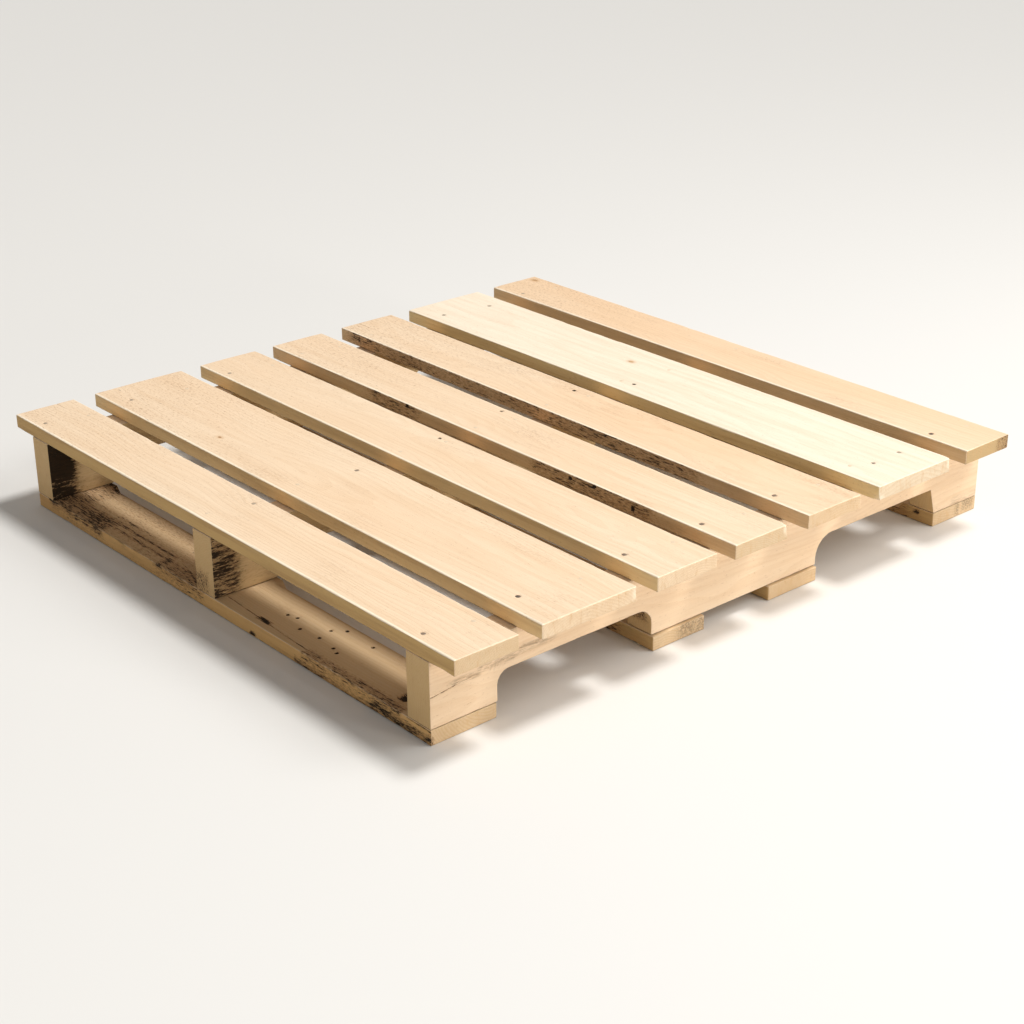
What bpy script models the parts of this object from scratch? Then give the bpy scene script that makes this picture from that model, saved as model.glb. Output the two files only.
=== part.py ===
"""A notched-stringer wooden pallet: seven deckboards, three stringers, four bottom boards, 42 nails.

Units are metres and +Z is up. The origin is on the floor at the middle of the pallet.
+X runs along the deckboards, and +Y runs along the stringers, towards the back.
"""

import math

import bmesh
import bpy

# Driving dimensions
DECK_LENGTH = 1.165
PALLET_DEPTH = 1.165
PALLET_HEIGHT = 0.150
BOARD_THICKNESS = 0.024
FACE_GAP = 0.0003

EDGE_BOARD = 0.110
WIDE_BOARD = 0.175
INNER_BOARD = 0.119
CENTRE_BOARD = 0.111
DECK_WIDTHS = (EDGE_BOARD, WIDE_BOARD, INNER_BOARD, CENTRE_BOARD, INNER_BOARD, WIDE_BOARD, EDGE_BOARD)
DECK_GAPS = (0.040, 0.039, 0.038, 0.046, 0.042, 0.041)

STRINGER_WIDTH = 0.050
STRINGER_OUTER_FACE = 0.530
MIDDLE_STRINGER_X = -0.012

# Bottom boards: name, front edge, width, how far each end stands proud of the outer stringers,
# and which long top edge is chamfered between the stringers: 1 the back one, -1 the front one
BOTTOM_BOARDS = (
    ("bottom_board_front", -0.5825, 0.115, 0.0, 1),
    ("bottom_board_centre_front", -0.177, 0.106, 0.005, 0),
    ("bottom_board_centre_back", 0.068, 0.109, 0.005, 0),
    ("bottom_board_back", 0.4705, 0.112, 0.0, -1),
)
CHAMFER_WIDTH = 0.017
CHAMFER_DEPTH = 0.012
CHAMFER_STOP = 0.012

# Fork notches, cut up from the stringers' lower face
NOTCH_ROOF = 0.069
FRONT_NOTCH = (-0.466, -0.176)
FRONT_NOTCH_RADII = (0.020, 0.026)
BACK_NOTCH = (0.179, 0.470)
BACK_NOTCH_RADII = (0.035, 0.003)
BACK_NOTCH_SLANT = 0.011

EDGE_BEVEL = 0.0012
CUTTER_MARGIN = 0.004

# Nails: turned head and shank, set just below the deck
NAIL_HEAD_RADIUS = 0.0036
NAIL_HEAD_THICKNESS = 0.0014
NAIL_SHANK_RADIUS = 0.0015
NAIL_LENGTH = 0.065
NAIL_POINT = 0.005
NAIL_SINK = 0.0004
NAIL_CLEARANCE = 0.0004
NAIL_SIDES = 8
NAIL_STAGGER = 0.008
NARROW_INSETS = (0.018, 0.020)
WIDE_INSETS = (0.032, 0.042)

# Worked out from the driving dimensions
DECK_UNDERSIDE = PALLET_HEIGHT - BOARD_THICKNESS
STRINGER_BOTTOM = BOARD_THICKNESS + FACE_GAP
STRINGER_TOP = DECK_UNDERSIDE - FACE_GAP
STRINGER_X = {
    "left": -(STRINGER_OUTER_FACE - STRINGER_WIDTH / 2),
    "middle": MIDDLE_STRINGER_X,
    "right": STRINGER_OUTER_FACE - STRINGER_WIDTH / 2,
}


def clear_scene():
    """Remove every object of the file that is open."""
    for old in list(bpy.data.objects):
        bpy.data.objects.remove(old, do_unlink=True)


def new_collection(name):
    """A collection linked to the scene."""
    collection = bpy.data.collections.new(name)
    bpy.context.scene.collection.children.link(collection)
    return collection


def move_to(obj, collection):
    """Put an object in one collection and no other."""
    for other in list(obj.users_collection):
        other.objects.unlink(obj)
    collection.objects.link(obj)


def wood(name, colour, roughness=0.7):
    """A plain sawn-timber material."""
    material = bpy.data.materials.new(name)
    material.use_nodes = True
    shader = material.node_tree.nodes["Principled BSDF"]
    shader.inputs["Base Color"].default_value = (*colour, 1.0)
    shader.inputs["Roughness"].default_value = roughness
    return material


def nail_steel():
    """Dull steel for the nails."""
    material = bpy.data.materials.new("nail_steel")
    material.use_nodes = True
    shader = material.node_tree.nodes["Principled BSDF"]
    shader.inputs["Base Color"].default_value = (0.23, 0.20, 0.18, 1.0)
    shader.inputs["Roughness"].default_value = 0.5
    shader.inputs["Metallic"].default_value = 0.9
    return material


def timber(name, size, centre, material, collection):
    """A sawn length of timber with slightly eased edges."""
    bpy.ops.mesh.primitive_cube_add(size=1.0, location=centre)
    piece = bpy.context.active_object
    piece.name = name
    piece.scale = size
    bpy.ops.object.transform_apply(location=False, rotation=False, scale=True)
    ease = piece.modifiers.new("eased_edges", "BEVEL")
    ease.width = EDGE_BEVEL
    ease.segments = 1
    piece.data.materials.append(material)
    move_to(piece, collection)
    return piece


def cut(piece, cutter):
    """Take the cutter's volume out of a piece."""
    boolean = piece.modifiers.new("cut_" + cutter.name, "BOOLEAN")
    boolean.operation = "DIFFERENCE"
    boolean.solver = "EXACT"
    boolean.object = cutter


def as_cutter(obj, collection):
    """Mark an object as a cutter."""
    obj.hide_render = True
    obj.display_type = "WIRE"
    move_to(obj, collection)


def corner_arc(centre, radius, start, steps=6):
    """Points of a quarter turn, clockwise from the start angle in degrees."""
    angles = [math.radians(start - 90 * step / steps) for step in range(steps + 1)]
    return [(centre[0] + radius * math.cos(a), centre[1] + radius * math.sin(a)) for a in angles]


def notch_outline(front, back, radii, slant):
    """The notch seen along X: up the front wall, over the roof, and down the back wall."""
    below = STRINGER_BOTTOM - CUTTER_MARGIN
    front_radius, back_radius = radii
    front_arc = corner_arc((front + front_radius, NOTCH_ROOF - front_radius), front_radius, 180)
    roof_back = back - slant
    back_arc = corner_arc((roof_back - back_radius, NOTCH_ROOF - back_radius), back_radius, 90)
    return [(front, below)] + front_arc + back_arc + [(back, STRINGER_BOTTOM), (back, below)]


def chamfer_outline(edge, side):
    """The corner seen along X that a chamfer takes off a bottom board's long top edge."""
    slope = CHAMFER_DEPTH / CHAMFER_WIDTH
    above = BOARD_THICKNESS + CUTTER_MARGIN
    beyond = edge + side * CUTTER_MARGIN
    return [
        (edge - side * (CHAMFER_WIDTH + CUTTER_MARGIN / slope), above),
        (beyond, above),
        (beyond, BOARD_THICKNESS - CHAMFER_DEPTH - CUTTER_MARGIN * slope),
    ]


def bar_cutter(name, points, ends, collection):
    """A closed straight bar along X, with its (Y, Z) outline and its two ends' X."""
    outline = bpy.data.curves.new(name + "_outline", "CURVE")
    outline.dimensions = "2D"
    outline.fill_mode = "BOTH"
    outline.extrude = (ends[1] - ends[0]) / 2
    spline = outline.splines.new("POLY")
    spline.points.add(len(points) - 1)
    for point, (y, z) in zip(spline.points, points):
        point.co = (y, z, 0.0, 1.0)
    spline.use_cyclic_u = True
    flat = bpy.data.objects.new(name + "_outline", outline)
    # The outline's own X, Y and Z become the pallet's Y, Z and X
    flat.rotation_euler = (math.radians(90), 0.0, math.radians(90))
    flat.location.x = (ends[0] + ends[1]) / 2
    collection.objects.link(flat)
    bpy.context.view_layer.update()
    mesh = bpy.data.meshes.new_from_object(flat.evaluated_get(bpy.context.evaluated_depsgraph_get()))
    cutter = bpy.data.objects.new(name, mesh)
    cutter.matrix_world = flat.matrix_world.copy()
    bpy.data.objects.remove(flat, do_unlink=True)
    weld_and_face_outwards(cutter)
    as_cutter(cutter, collection)
    return cutter


def weld_and_face_outwards(obj):
    """Join the caps of a converted curve to its sides, with every face pointing out."""
    shape = bmesh.new()
    shape.from_mesh(obj.data)
    bmesh.ops.remove_doubles(shape, verts=shape.verts, dist=0.00001)
    bmesh.ops.recalc_face_normals(shape, faces=shape.faces)
    shape.to_mesh(obj.data)
    shape.free()


def turned_mesh(name, profile):
    """A solid of revolution about Z, from (radius, height) points that run from top to bottom."""
    mesh = bpy.data.meshes.new(name)
    mesh.from_pydata([(radius, 0.0, z) for radius, z in profile],
                     [(i, i + 1) for i in range(len(profile) - 1)], [])
    return mesh


def turned(name, mesh, place):
    """An object that turns a profile into a closed solid."""
    obj = bpy.data.objects.new(name, mesh)
    obj.location = place
    screw = obj.modifiers.new("turn", "SCREW")
    screw.axis = "Z"
    screw.steps = NAIL_SIDES
    screw.render_steps = NAIL_SIDES
    screw.use_merge_vertices = True
    screw.merge_threshold = 0.00001
    return obj


def nail_profile(clearance):
    """Head, shank and point of a nail whose head's top is at height 0, grown by a clearance."""
    head = NAIL_HEAD_RADIUS + clearance
    shank = NAIL_SHANK_RADIUS + clearance
    underside = -NAIL_HEAD_THICKNESS - clearance
    top = NAIL_SINK + CUTTER_MARGIN if clearance else 0.0
    return [
        (0.0, top),
        (head, top),
        (head, underside),
        (shank, underside),
        (shank, -NAIL_LENGTH + NAIL_POINT),
        (0.0, -NAIL_LENGTH - clearance),
    ]


def deck_edges():
    """Front and back edge of each deckboard, from the front of the pallet to the back."""
    edges = []
    front = -PALLET_DEPTH / 2
    for width, gap in zip(DECK_WIDTHS, DECK_GAPS + (0.0,)):
        edges.append((front, front + width))
        front += width + gap
    return edges


def nail_places(front, back):
    """The two nails of one board at one stringer: offset along X from the stringer, and Y."""
    insets = WIDE_INSETS if back - front > 0.15 else NARROW_INSETS
    return ((-NAIL_STAGGER, front + insets[0]), (NAIL_STAGGER, back - insets[1]))


def make_stringers(material, parts, cutters):
    """The three stringers, with both fork notches cut in each."""
    across = (-DECK_LENGTH / 2, DECK_LENGTH / 2)
    front_points = notch_outline(*FRONT_NOTCH, FRONT_NOTCH_RADII, 0.0)
    back_points = notch_outline(*BACK_NOTCH, BACK_NOTCH_RADII, BACK_NOTCH_SLANT)
    notches = (
        bar_cutter("front_notch", front_points, across, cutters),
        bar_cutter("back_notch", back_points, across, cutters),
    )
    size = (STRINGER_WIDTH, PALLET_DEPTH, STRINGER_TOP - STRINGER_BOTTOM)
    height = (STRINGER_TOP + STRINGER_BOTTOM) / 2
    stringers = {}
    for side, x in STRINGER_X.items():
        stringer = timber("stringer_" + side, size, (x, 0.0, height), material, parts)
        for notch in notches:
            cut(stringer, notch)
        stringers[side] = stringer
    return stringers


def make_deckboards(material, parts):
    """The seven top boards, from the front of the pallet to the back."""
    boards = []
    height = PALLET_HEIGHT - BOARD_THICKNESS / 2
    for number, (front, back) in enumerate(deck_edges(), start=1):
        size = (DECK_LENGTH, back - front, BOARD_THICKNESS)
        boards.append(timber(f"top_board_{number}", size, (0.0, (front + back) / 2, height), material, parts))
    return boards


def bays():
    """The X span of each fork pocket, between the stringers' faces."""
    half = STRINGER_WIDTH / 2
    return (
        (STRINGER_X["left"] + half, STRINGER_X["middle"] - half),
        (STRINGER_X["middle"] + half, STRINGER_X["right"] - half),
    )


def make_bottom_boards(material, parts, cutters):
    """The four boards that the pallet stands on. The outer two are chamfered for truck wheels."""
    for name, front, width, proud, side in BOTTOM_BOARDS:
        size = (2 * (STRINGER_OUTER_FACE + proud), width, BOARD_THICKNESS)
        board = timber(name, size, (0.0, front + width / 2, BOARD_THICKNESS / 2), material, parts)
        if side == 0:
            continue
        edge = front + width if side > 0 else front
        for number, (left, right) in enumerate(bays(), start=1):
            ends = (left + CHAMFER_STOP, right - CHAMFER_STOP)
            cut(board, bar_cutter(f"{name}_chamfer_{number}", chamfer_outline(edge, side), ends, cutters))


def make_deck_nails(boards, stringers, material, parts, cutters):
    """Two nails where each deckboard crosses each stringer, in holes through both."""
    nail_mesh = turned_mesh("nail", nail_profile(0.0))
    nail_mesh.materials.append(material)
    hole_mesh = turned_mesh("nail_hole", nail_profile(NAIL_CLEARANCE))
    for number, (board, (front, back)) in enumerate(zip(boards, deck_edges()), start=1):
        for side, stringer in stringers.items():
            for label, (offset, y) in zip("ab", nail_places(front, back)):
                tag = f"{number}_{side}_{label}"
                place = (STRINGER_X[side] + offset, y, PALLET_HEIGHT - NAIL_SINK)
                parts.objects.link(turned("nail_" + tag, nail_mesh, place))
                hole = turned("hole_" + tag, hole_mesh, place)
                as_cutter(hole, cutters)
                cut(board, hole)
                cut(stringer, hole)


def main():
    clear_scene()
    parts = new_collection("wooden_pallet")
    cutters = new_collection("cutters")
    deck_wood = wood("deck_wood", (0.80, 0.62, 0.42))
    stringer_wood = wood("stringer_wood", (0.72, 0.52, 0.32))
    bottom_wood = wood("bottom_wood", (0.66, 0.47, 0.29), 0.75)
    stringers = make_stringers(stringer_wood, parts, cutters)
    boards = make_deckboards(deck_wood, parts)
    make_bottom_boards(bottom_wood, parts, cutters)
    make_deck_nails(boards, stringers, nail_steel(), parts, cutters)


main()
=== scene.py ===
"""The looks of a wooden pallet: worn sawn timbers, driven nails, a pale floor, soft light and a camera.

Metres, +Z up. Every timber is a fine grid over its six faces, rounded at its edges, with marks pressed
into it. It stands inside the CAD node that it replaces. A timber's own directions are: along its grain,
across, and up.
"""
import math
import random

import bpy
import numpy as np
from mathutils import Matrix, Vector, noise


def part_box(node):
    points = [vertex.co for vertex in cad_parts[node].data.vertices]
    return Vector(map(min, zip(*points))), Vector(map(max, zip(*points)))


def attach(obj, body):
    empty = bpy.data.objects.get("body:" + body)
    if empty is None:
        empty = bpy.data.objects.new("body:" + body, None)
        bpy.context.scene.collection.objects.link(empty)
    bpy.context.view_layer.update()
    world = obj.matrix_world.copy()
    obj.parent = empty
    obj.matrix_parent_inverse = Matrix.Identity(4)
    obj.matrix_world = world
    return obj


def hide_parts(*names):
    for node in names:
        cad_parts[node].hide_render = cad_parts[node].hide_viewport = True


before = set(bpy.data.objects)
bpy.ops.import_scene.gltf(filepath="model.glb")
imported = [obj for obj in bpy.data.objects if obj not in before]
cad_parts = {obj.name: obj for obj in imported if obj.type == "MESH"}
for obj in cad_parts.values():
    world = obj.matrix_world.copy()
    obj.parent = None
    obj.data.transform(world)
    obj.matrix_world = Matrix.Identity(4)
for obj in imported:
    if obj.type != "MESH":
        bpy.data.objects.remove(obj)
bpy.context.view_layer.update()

MM = 0.001
LEAST_STEP = 0.35 * MM
ROUNDING = (1.0, 0.414, 0.0)  # how far into a rounded edge its three grid lines lie
SIDES = ("left", "middle", "right")

# The faces of a timber: axis (0 along, 1 across, 2 up) and sign. A stringer's right side is its REAR
FRONT = (1, -1)
REAR = (1, 1)
TOP = (2, 1)
UNDER = (2, -1)
FIRST_END = (0, -1)
LAST_END = (0, 1)
FACING = 0.7  # how squarely a point has to look that way to be on the face
SKIN = 2 * MM  # how deep below a face dirt next to its edge reaches
# The front long side takes the full side colour, which is partly painted shade; the back side takes this smaller
# share
BACK_FLANK = 0.35  # share of its colour that a long side has where the photo hides it

# Stringer notches: wall positions, roof height and corner radii, as the CAD stringers have them
NOTCH_ROOF = 0.069
FOOT_CORNER = 2.5 * MM
NOTCHES = (
    {"front": -0.466, "back": -0.176, "front_radius": 0.020, "back_radius": 0.026, "slant": 0.0},
    {"front": 0.179, "back": 0.470, "front_radius": 0.035, "back_radius": 0.003, "slant": 0.011},
)
CHAMFER_WIDTH = 0.017
CHAMFER_DEPTH = 0.012
CHAMFER_STOP = 0.012
CHAMFER_RUN_OUT = 0.010

# Camera, with its roll in degrees and its lens in mm
CAMERA_AT = (2.2992, -1.9579, 1.3358)
CAMERA_TARGET = (0.1438, -0.1067, 0.0700)
CAMERA_ROLL = -0.45
CAMERA_LENS = 68.87


# --- grids ---

def add_object(name, data):
    """A new object in the scene."""
    thing = bpy.data.objects.new(name, data)
    bpy.context.scene.collection.objects.link(thing)
    return thing


def add_mesh(name, points, faces, material):
    """A new mesh object in the scene."""
    mesh = bpy.data.meshes.new(name)
    mesh.from_pydata(points, [], faces)
    mesh.update()
    mesh.materials.append(material)
    return add_object(name, mesh)


def spread(low, high, spacing, marks=()):
    """Places from low to high: every mark, and even steps between the marks."""
    stops = [low]
    for mark in sorted(marks):
        if mark - stops[-1] > LEAST_STEP and high - mark > LEAST_STEP:
            stops.append(mark)
    stops.append(high)
    places = [low]
    for start, end in zip(stops, stops[1:]):
        count = max(1, round((end - start) / spacing))
        places.extend(start + (end - start) * step / count for step in range(1, count + 1))
    return np.array(places)


class Lines:
    """The grid lines of one direction, with three lines close together in each rounded edge."""

    def __init__(self, low, high, inner):
        flat = np.zeros(len(inner))
        self.place = np.concatenate(([low] * 3, inner, [high] * 3))
        self.side = np.concatenate(([-1.0] * 3, flat, [1.0] * 3))
        self.depth = np.concatenate((ROUNDING, flat, ROUNDING[::-1]))


def block_faces(shape, flipped):
    """Index triples of the points on a block's surface, and the quads between them, facing out."""
    surface = np.zeros(shape, bool)
    surface[[0, -1]] = True
    surface[:, [0, -1]] = True
    surface[:, :, [0, -1]] = True
    number = -np.ones(shape, int)
    number[surface] = np.arange(surface.sum())
    quads = []
    for axis in range(3):
        for end in (0, -1):
            sheet = np.take(number, end, axis=axis)
            ring = [sheet[:-1, :-1], sheet[1:, :-1], sheet[1:, 1:], sheet[:-1, 1:]]
            if ((end == 0) != (axis == 1)) != flipped:
                ring.reverse()
            quads.append(np.stack(ring, axis=-1).reshape(-1, 4))
    return np.argwhere(surface), np.concatenate(quads)


def ripple(points, scale, seed, stretch=(1.0, 1.0, 1.0)):
    """Smooth noise from about -1 to 1 at every point, with features about scale long."""
    shift = np.array([seed * 1.37, seed * 2.71, seed * 0.59])
    places = points / (scale * np.array(stretch)) + shift
    return np.array([noise.noise(place) for place in places])


def ease(low, high, value):
    """0 below low, 1 above high, and a smooth rise between."""
    share = np.clip((value - low) / (high - low), 0.0, 1.0)
    return share * share * (3.0 - 2.0 * share)


class Timber:
    """The grid of one timber while it is being worn and marked."""

    def __init__(self, low, high, along, seed, spacing=(0.009, 0.009, 0.006), marks=((), (), ()),
                 wear=1.6 * MM, reach=3.2 * MM, foot=None):
        """low and high are its corners. along is X or Y. marks are extra lines along, across and up.

        wear is the usual radius of its edges and reach the most. foot is what notched_foot gives.
        """
        self.order = (0, 1, 2) if along == "X" else (1, 0, 2)
        self.low = np.array([low[axis] for axis in self.order])
        self.high = np.array([high[axis] for axis in self.order])
        self.seed = seed
        self.flipped = along == "Y"
        inner = [spread(self.low[axis] + reach, self.high[axis] - reach, spacing[axis], mark)
                 for axis, mark in enumerate(marks)]
        if foot is not None:
            inner[0] = foot["place"][3:-3]
        lines = [Lines(*row) for row in zip(self.low, self.high, inner)]
        if foot is None:
            foot = straight_foot(lines[0].place, self.low[2])
        keys, self.quads = block_faces([len(line.place) for line in lines], self.flipped)
        self.build_points(keys, lines, foot, wear, reach)
        # grime: dirt, and also painted shade where a timber is blackened as if in shadow
        self.grime = np.zeros(len(self.points))
        # worn: rubbed and knocked wood, and also the painted highlight of the upper edges
        self.worn = np.zeros(len(self.points))
        # The brown rind: rough edges and stains, and also painted shade along the lower edges and in a
        # stringer's shaded stretch
        self.bark = np.zeros(len(self.points))
        self.end = (np.abs(self.normals[:, 0]) > 0.75).astype(float)
        # The sawn sides' colour: full on the long side that faces forward (a stringer's right side), where it is
        # partly painted shade, and a smaller share on the back one
        facing = self.normals[:, 1] * (1.0 if self.flipped else -1.0)
        self.flank = np.where(facing > 0.75, 1.0, np.where(facing < -0.75, BACK_FLANK, 0.0))

    def build_points(self, keys, lines, foot, wear, reach):
        """Lay the points out, with an edge rounding that varies along the edges."""
        a, b, c = keys.T
        along, across, up = lines
        rough = np.stack((foot["place"][a], across.place[b], up.place[c]), axis=1)
        swell = 0.55 * ripple(rough, 0.060, self.seed) + 0.3 * ripple(rough, 0.011, self.seed + 7)
        radius = np.clip(wear * (1.0 + swell), 0.3 * wear, 0.92 * reach)
        height = (up.place[c] - self.low[2] - reach) / (self.high[2] - self.low[2] - 2 * reach)
        height = np.clip(height, 0.0, 1.0)
        inset = np.where(up.side[c] < 0, radius, reach)
        start_a = foot["place"][a] + foot["normal_along"][a] * inset
        start_c = foot["height"][a] + foot["normal_up"][a] * inset
        top_c = self.high[2] - np.where(up.side[c] > 0, radius, reach)
        core_a = start_a + (foot["top"][a] - start_a) * height
        core_c = start_c + (top_c - start_c) * height
        core_a = core_a - along.side[a] * radius * np.abs(along.side[a])
        core_b = across.place[b] - across.side[b] * radius
        depth = np.stack((along.side[a] * along.depth[a], across.side[b] * across.depth[b],
                          up.side[c] * up.depth[c]), axis=1)
        under = np.minimum(depth[:, 2], 0.0)
        normals = np.stack((depth[:, 0] + under * foot["normal_along"][a], depth[:, 1],
                            np.maximum(depth[:, 2], 0.0) + under * foot["normal_up"][a]), axis=1)
        self.normals = normals / np.linalg.norm(normals, axis=1, keepdims=True)
        self.points = np.stack((core_a, core_b, core_c), axis=1) + self.normals * radius[:, None]
        self.rest = self.points.copy()
        self.along, self.across, self.up = self.rest.T

    def press(self, amount):
        """Push the surface inwards. Nothing is ever pushed outwards."""
        self.points = self.points - self.normals * np.maximum(amount, 0.0)[:, None]

    def raise_to(self, label, value):
        """Raise one of the dark or pale marks to a value where it is lower."""
        setattr(self, label, np.maximum(getattr(self, label), value))

    def weather(self, rough=0.00012, wave=0.0003):
        """Raised grain and a slightly uneven face."""
        grain = 0.5 + 0.5 * ripple(self.rest, 0.006, self.seed + 20, stretch=(9.0, 1.0, 1.0))
        broad = 0.5 + 0.5 * ripple(self.rest, 0.110, self.seed + 30, stretch=(2.2, 1.0, 1.0))
        self.press(rough * grain + wave * broad)

    def wear_edges(self, width=0.004, depth=0.0007, arris_highlight=0.9):
        """Bruise the long edges here and there. Their rounded upper edges get a pale painted highlight, and the
        lower edges of the long sides a dark painted shade.
        """
        close = 1.0 - ease(0.0, width, self.edge_distance())
        knocks = ease(0.15, 0.75, ripple(self.rest, 0.035, self.seed + 40))
        self.press(depth * close * knocks)
        corner = np.abs(self.normals).max(axis=1) < 0.95
        # Painted highlight: the rounded upper edges are made pale, as if they caught the light
        upper = corner * (self.normals[:, 2] > 0.2) * np.where(np.abs(self.normals[:, 0]) > 0.2, 0.25, 1.0)
        # Painted shade: a dark line along the lower edges of the long sides
        lower = corner * (self.normals[:, 2] < -0.2) * (np.abs(self.normals[:, 1]) > 0.2)
        self.raise_to("worn", np.maximum(arris_highlight * upper, 0.35 * close * knocks))
        self.raise_to("bark", 0.80 * lower)

    def paint_arris_highlight(self, width, arris_highlight):
        """Paint a bright highlight line along the top face's front edge."""
        close = 1.0 - ease(width, 1.5 * width, self.across - self.low[1])
        self.raise_to("worn", arris_highlight * close * self.faces(TOP))

    def edge_distance(self):
        """Distance of each point from the nearest long edge of its face."""
        from_side = np.minimum(self.across - self.low[1], self.high[1] - self.across)
        from_level = np.minimum(self.high[2] - self.up, self.up - self.low[2])
        return np.where(np.abs(self.normals[:, 1]) > FACING, from_level, from_side)

    def crown(self, rise):
        """Let the upper face fall a little towards both long edges."""
        middle = (self.low[1] + self.high[1]) / 2
        half = (self.high[1] - self.low[1]) / 2
        share = np.clip(np.abs(self.across - middle) / half, 0.0, 1.0)
        self.points[:, 2] -= rise * share ** 2 * self.height_share()

    def height_share(self):
        """0 at the underside and 1 at the upper face."""
        return np.clip((self.up - self.low[2]) / (self.high[2] - self.low[2]), 0.0, 1.0)

    def dimple(self, at, radius, depth, dirt=0.0, face=TOP):
        """A round dent around a nail head, or a small hole."""
        chosen = self.faces(face)
        distance = np.hypot(self.along - at[0], self.across - at[1])
        self.press(depth * (1.0 - ease(0.35 * radius, radius, distance)) * chosen)
        self.raise_to("grime", dirt * (1.0 - ease(0.5 * radius, 1.1 * radius, distance)) * chosen)

    def knock(self, along, up, radius, depth):
        """A dark bruise in the front face around a place given along and up."""
        chosen = self.faces(FRONT)
        distance = np.hypot(self.along - along, 1.3 * (self.up - up))
        close = (1.0 - ease(0.4 * radius, radius, distance)) * chosen
        self.press(depth * close)
        self.raise_to("grime", close)

    def split(self, at_across, end, length, width, depth):
        """A drying crack that opens from one end: end is -1 or 1, and it closes after length."""
        tip = self.high[0] if end > 0 else self.low[0]
        into = np.abs(tip - self.along)
        open_share = np.clip(1.0 - into / length, 0.0, 1.0)
        off = np.abs(self.across - at_across)
        near = np.clip(1.0 - off / (width * (0.35 + 0.65 * open_share)), 0.0, 1.0) * (open_share > 0)
        level = np.abs(self.normals[:, 2]) + np.abs(self.normals[:, 0]) > FACING
        self.press(depth * near * open_share ** 0.5 * level)
        self.raise_to("grime", 0.9 * near * level * open_share ** 0.5)

    def chip(self, at, radius, depth):
        """A piece knocked off an edge or corner, around a place given along, across and up."""
        distance = np.linalg.norm(self.rest - np.array(at), axis=1)
        bite = 1.0 - ease(0.3 * radius, radius, distance)
        ragged = 0.75 + 0.5 * ripple(self.rest, 0.004, self.seed + 60)
        toward = self.middle() - self.rest
        toward = toward / np.maximum(np.linalg.norm(toward, axis=1, keepdims=True), 1e-6)
        toward[:, 0] *= 0.25
        self.points = self.points + toward * (depth * bite * ragged)[:, None]
        self.raise_to("worn", 0.6 * bite)

    def faces(self, face):
        """Which points are on a face, given as an axis and a sign."""
        return self.normals[:, face[0]] * face[1] > FACING

    def soil_and_shade(self, strength, fade=0.014, bark=0.0, face=None, along=None, across=None, up=None):
        """Dirt between two places along, across and up, where they are given, and painted shade the same way. It
        thins out over fade.

        strength is for black streaks of dirt and of painted shade, and the number after fade for a brown rind of
        them.
        """
        inside = np.ones(len(self.rest)) if face is None else self.faces(face).astype(float)
        for span, place in ((along, self.along), (across, self.across), (up, self.up)):
            if span is not None:
                inside *= ease(span[0] - fade, span[0], place)
                inside *= 1.0 - ease(span[1], span[1] + fade, place)
        uneven = inside * (1.0 + 0.35 * ripple(self.rest, 0.030, self.seed + 70, stretch=(2.0, 1.0, 1.0)))
        self.raise_to("grime", strength * uneven)
        self.raise_to("bark", bark * uneven)

    def score(self, start, end, across_axis, face, width, depth):
        """A fine crack in a face from start to end, given along and on across_axis: 1 across or 2 up."""
        share = np.clip((self.along - start[0]) / (end[0] - start[0]), 0.0, 1.0)
        line = start[1] + (end[1] - start[1]) * share
        line = line + 0.0006 * ripple(self.rest, 0.012, self.seed + 80)
        inside = (self.along > min(start[0], end[0])) * (self.along < max(start[0], end[0]))
        near = np.clip(1.0 - np.abs(self.rest[:, across_axis] - line) / width, 0.0, 1.0)
        near = near * inside * self.faces(face)
        self.press(depth * near)
        self.raise_to("grime", 0.85 * near)

    def gnaw(self, low, high, edge_width, depth):
        """A rough waney stretch of the top front edge, between two places along."""
        inside = ease(low, low + 0.03, self.along)
        inside = inside * (1.0 - ease(high - 0.06, high, self.along))
        from_edge = self.across - self.low[1] + self.high[2] - self.up
        close = 1.0 - ease(0.0, edge_width, from_edge)
        bites = ease(-0.2, 0.8, ripple(self.rest, 0.014, self.seed + 90, stretch=(2.2, 1.0, 1.0)))
        self.press(depth * close * bites * inside)
        self.raise_to("bark", 0.75 * close * bites * inside)

    def middle(self):
        """The timber's own middle line, level with each point."""
        line = np.tile((self.low + self.high) / 2, (len(self.rest), 1))
        line[:, 0] = self.along
        return line

    def chamfer(self, edge, side, start, stop):
        """Plane off one long top edge between two places, with curved run-outs at both ends."""
        inside = ease(start, start + CHAMFER_RUN_OUT, self.along)
        inside = inside * (1.0 - ease(stop - CHAMFER_RUN_OUT, stop, self.along))
        from_edge = side * (edge - self.across)
        fall = CHAMFER_DEPTH * np.clip(1.0 - from_edge / CHAMFER_WIDTH, 0.0, 1.0) * inside
        self.points[:, 2] -= fall * self.height_share()

    def finish(self, name, material):
        """Make the mesh object, with what the material reads stored on its points."""
        places = self.points[:, list(np.argsort(self.order))]
        piece = add_mesh(name, places.tolist(), self.quads.tolist(), material)
        for label in ("grime", "worn", "bark", "end", "flank"):
            layer = piece.data.attributes.new(label, "FLOAT", "POINT")
            layer.data.foreach_set("value", np.clip(getattr(self, label), 0.0, 1.0).astype(np.float32))
        piece.data.shade_smooth()
        return piece


def straight_foot(places, height):
    """The underside of a timber without notches, as notched_foot gives it."""
    flat = np.zeros(len(places))
    return {"place": places, "top": places, "height": flat + height, "normal_along": flat,
            "normal_up": flat + 1.0}


# --- stringer outline ---

FOOT_STEPS = 3
ROOF_STEPS = 7
FOOT_LEAN = (0.028, 0.032)  # how far beside the notch's wall the grid lines of a foot end
ROOF_LEAN = 0.004


def arc(centre, radius, start, turn, steps):
    """Points of an arc, from the start angle through turn, both in degrees."""
    angles = [math.radians(start + turn * step / steps) for step in range(steps + 1)]
    return [(centre[0] + radius * math.cos(a), centre[1] + radius * math.sin(a)) for a in angles]


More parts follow.
